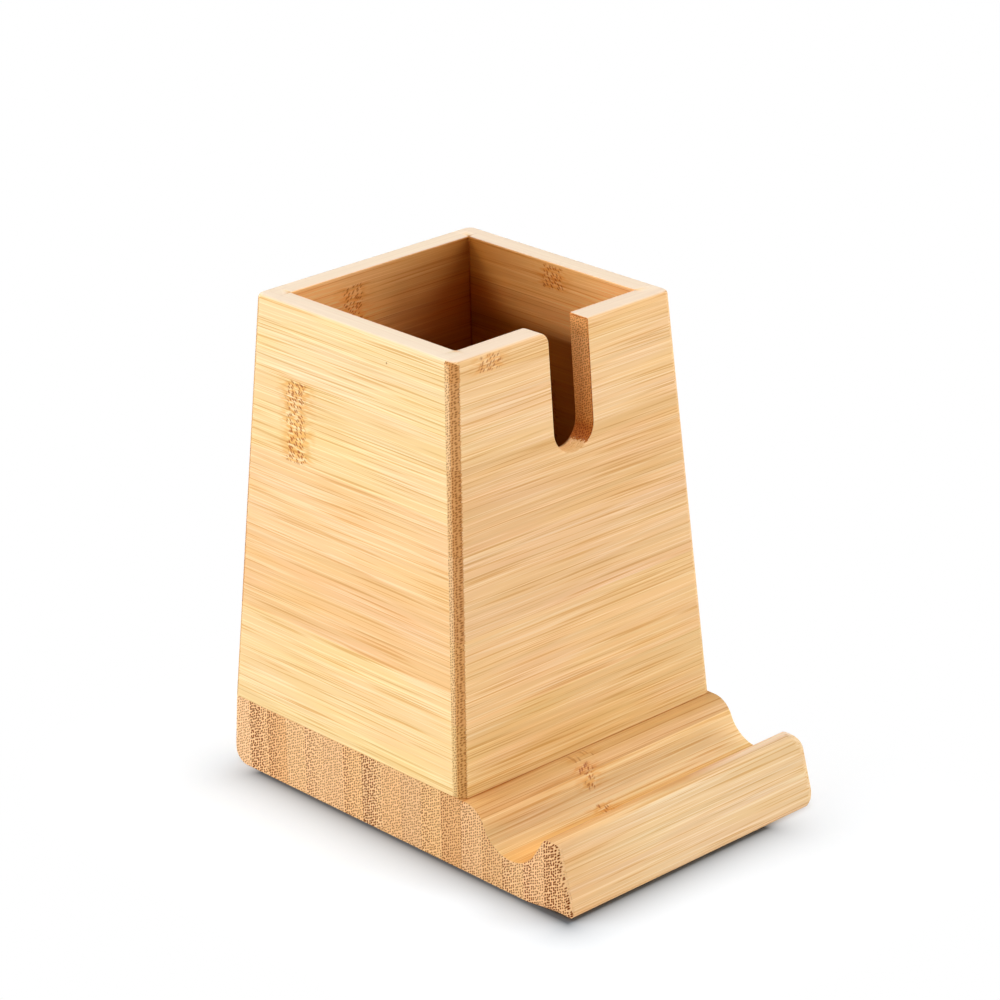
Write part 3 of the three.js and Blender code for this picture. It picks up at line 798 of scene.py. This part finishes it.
# Each board is laid up from level strips 20.15 mm wide: the height of its first joint, the tones
# from the lowest strip up, and the marks that the cane's nodes leave.
strip_width = 20.15
board_strips = {
    "front": (35.6, "#EEC688 #F2C68C #EFC28C #ECBC82 #F5C992 #F4C488",
              [(-23.6, 3.6, 116.5, 120.6, 0.8)]),
    "right": (30.1, "#F5CD94 #F7D59E #F2C892 #F6CF99 #F7D298 #F7D298",
              [(22.0, 3.7, 70.4, 90.55, 0.8), (17.0, 3.2, 114.0, 120.4, 0.9)]),
    "back": (26.4, "#F3CB93 #F7D39B #F5C990 #F7D49F #F1C890 #F7D298",
             [(-12.0, 3.7, 46.55, 66.7, 0.8), (-9.0, 3.0, 107.0, 118.0, 0.8)]),
    "left": (22.65, "#F5D498 #F8D398 #F3C48A #F7CA92 #F6D196 #F8D7A0",
             [(36.3, 3.0, 83.1, 103.25, 1.0)]),
}
outer_ply = 3.6
# The inside is painted fully dark up to the first height and painted as lit from the second.
dark_and_lit = {"front": (92, 104), "right": (101, 106), "back": (88, 102), "left": (92, 104)}


def board_layout(name):
    """Across the strip is upright, and through the layers is the depth from the outer face.

    The depth is the cup's half size at that height less the distance from its middle, and the
    place along the board gives in the same way how near its end is. The board has two plies, and
    its inside carries painted shade: a deeper orange, darkest towards the far corner and below
    the light that comes in over the rim, with painted light on the open side. The cut ends carry
    painted shade that deepens down the slot, and those more than 12 mm from the board's middle
    are the lapped corners'. Joint lines run round the foot and up the inner corners; at the front
    board's foot the line is painted shade in the crease.
    """
    def layout(tree, x, y, z):
        first, tones, _ = board_strips[name]
        tones = tones.split()
        count = len(tones)
        slope = (rim_width - foot_width) / cup_height / 2
        half = node(tree, "ShaderNodeMath", {0: z, 1: slope,
                                             2: foot_width / 2 - slope * base_thickness},
                    operation="MULTIPLY_ADD")
        middle_y = node(tree, "ShaderNodeMath", {0: y, 1: cup_middle_y}, operation="SUBTRACT")
        away, beside = (middle_y, x) if name in ("front", "back") else (x, middle_y)
        away = node(tree, "ShaderNodeMath", {0: away}, operation="ABSOLUTE")
        beside = node(tree, "ShaderNodeMath", {0: beside}, operation="ABSOLUTE")
        depth = node(tree, "ShaderNodeMath", {0: half, 1: away}, operation="SUBTRACT")
        to_end = node(tree, "ShaderNodeMath", {0: half, 1: beside}, operation="SUBTRACT")
        inner = node(tree, "ShaderNodeMath", {0: depth, 1: outer_ply}, operation="GREATER_THAN")
        crowd = node(tree, "ShaderNodeMath", {0: inner, 1: -0.15, 2: 0.4},
                     operation="MULTIPLY_ADD")
        fineness = node(tree, "ShaderNodeMath", {0: inner, 1: 0.35, 2: 1.6},
                        operation="MULTIPLY_ADD")
        strip = node(tree, "ShaderNodeMath", {0: z, 1: first - strip_width}, operation="SUBTRACT")
        strip = node(tree, "ShaderNodeMath", {0: strip, 1: strip_width}, operation="DIVIDE")
        number = node(tree, "ShaderNodeMath", {0: strip}, operation="FLOOR")
        position = node(tree, "ShaderNodeMath", {0: number, 1: 0.5}, operation="ADD")
        position = node(tree, "ShaderNodeMath", {0: position, 1: float(count)},
                        operation="DIVIDE")
        tone = node(tree, "ShaderNodeValToRGB", {0: position})
        set_steps(tone.color_ramp, tones)
        # The inner face, which carries the painted shade worked out below.
        inside = node(tree, "ShaderNodeMapRange", {"Value": depth, "From Min": thickness - 0.9,
                                                   "From Max": thickness - 0.3})
        # From 0 in the back right corner to 1 on the far side of the cup's middle: the painted
        # shade is darkest in that corner and turns to painted light on the open side.
        open_side = node(tree, "ShaderNodeMath", {0: x, 1: middle_y}, operation="ADD")
        open_side = node(tree, "ShaderNodeMapRange", {"Value": open_side, "From Min": 56,
                                                      "From Max": 10})
        shade = node(tree, "ShaderNodeMix", {0: open_side, 4: (0.56, 0.28, 0.06),
                                             5: (1.28, 1.00, 0.74)}, data_type="VECTOR")
        dark = node(tree, "ShaderNodeMix", {0: open_side, 4: (0.42, 0.20, 0.02),
                                            5: (0.19, 0.05, 0.006)}, data_type="VECTOR")
        # Painted light and shade by height: lighter 12 mm under the rim than just below it.
        high = node(tree, "ShaderNodeMapRange", {"Value": z, "From Min": rim_z - 12,
                                                 "From Max": rim_z - 2,
                                                 "To Min": 1.12, "To Max": 0.84})
        shade = node(tree, "ShaderNodeVectorMath", {0: shade, "Scale": high}, operation="SCALE")
        # Painted shade: below the light that comes in over the rim, the inside is painted dark.
        from_z, to_z = dark_and_lit[name]
        lit = node(tree, "ShaderNodeMapRange", {"Value": z, "From Min": from_z, "From Max": to_z})
        shade = node(tree, "ShaderNodeMix", {0: lit, 4: dark, 5: shade}, data_type="VECTOR")
        painted_inside_shade = node(tree, "ShaderNodeMix", {0: inside, 4: (1, 1, 1), 5: shade},
                    data_type="VECTOR")
        long_tone = node(tree, "ShaderNodeVectorMath", {0: tone, 1: painted_inside_shade}, operation="MULTIPLY")
        # The cut ends carry painted shade that deepens down the slot.
        cut_tint = node(tree, "ShaderNodeMapRange", {"Value": z, "From Min": rim_z - 25,
                                                     "From Max": rim_z - 2})
        cut_tint = node(tree, "ShaderNodeMix", {0: cut_tint, 4: (0.64, 0.37, 0.16),
                                                5: (0.90, 0.69, 0.48)}, data_type="VECTOR")
        off_slot = node(tree, "ShaderNodeMath", {0: beside, 1: 12.0}, operation="GREATER_THAN")
        cut_tint = node(tree, "ShaderNodeMix", {0: off_slot, 4: cut_tint, 5: (0.90, 0.88, 0.84)},
                        data_type="VECTOR")
        cut_tone = node(tree, "ShaderNodeVectorMath", {0: tone, 1: cut_tint},
                        operation="MULTIPLY")
        layer = node(tree, "ShaderNodeMath", {0: inner, 1: 7.3, 2: number},
                     operation="MULTIPLY_ADD")
        layer = node(tree, "ShaderNodeVectorMath", {0: (23.1, 5.3, 11.9), "Scale": layer},
                     operation="SCALE")
        foot = node(tree, "ShaderNodeMapRange", {"Value": z, "From Min": base_thickness + 0.25,
                                                 "From Max": base_thickness + 0.05})
        corner = node(tree, "ShaderNodeMapRange", {"Value": to_end, "From Min": thickness + 0.5,
                                                   "From Max": thickness + 0.1})
        deep = node(tree, "ShaderNodeMath", {0: depth, 1: thickness - 0.5},
                    operation="GREATER_THAN")
        corner = node(tree, "ShaderNodeMath", {0: corner, 1: deep}, operation="MULTIPLY")
        below = node(tree, "ShaderNodeMath", {0: z, 1: rim_z - 1.3}, operation="LESS_THAN")
        corner = node(tree, "ShaderNodeMath", {0: corner, 1: below}, operation="MULTIPLY")
        # Only the front board's foot meets a face that it doesn't end level with, so only there
        # the line
        # is deep: painted shade in the crease.
        foot_depth = 0.9 if name == "front" else 0.15
        foot = node(tree, "ShaderNodeMath", {0: foot, 1: foot_depth}, operation="MULTIPLY")
        wood = {"across": z, "through": depth, "strip": z, "tone": long_tone, "cut_tone": cut_tone,
                "crowd": crowd, "fineness": fineness, "dot_depth": 0.6, "layer": layer,
                "corner": (0.78, 0.60, 0.42), "sealed_right": name == "front"}
        wood["joint"] = node(tree, "ShaderNodeMath", {0: corner, 1: foot}, operation="MAXIMUM")
        return wood
    return layout


for name, (first, last, place) in boards.items():
    piece = board(f"{name}_board", first, last, place, name == "front")
    grain = "X" if name in ("front", "back") else "Y"
    wood = bamboo(f"bamboo_{name}_lacquered", grain, board_layout(name), board_strips[name][2])
    piece.data.materials.append(wood)
    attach(piece, "root")
    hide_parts(f"{name}_wall")
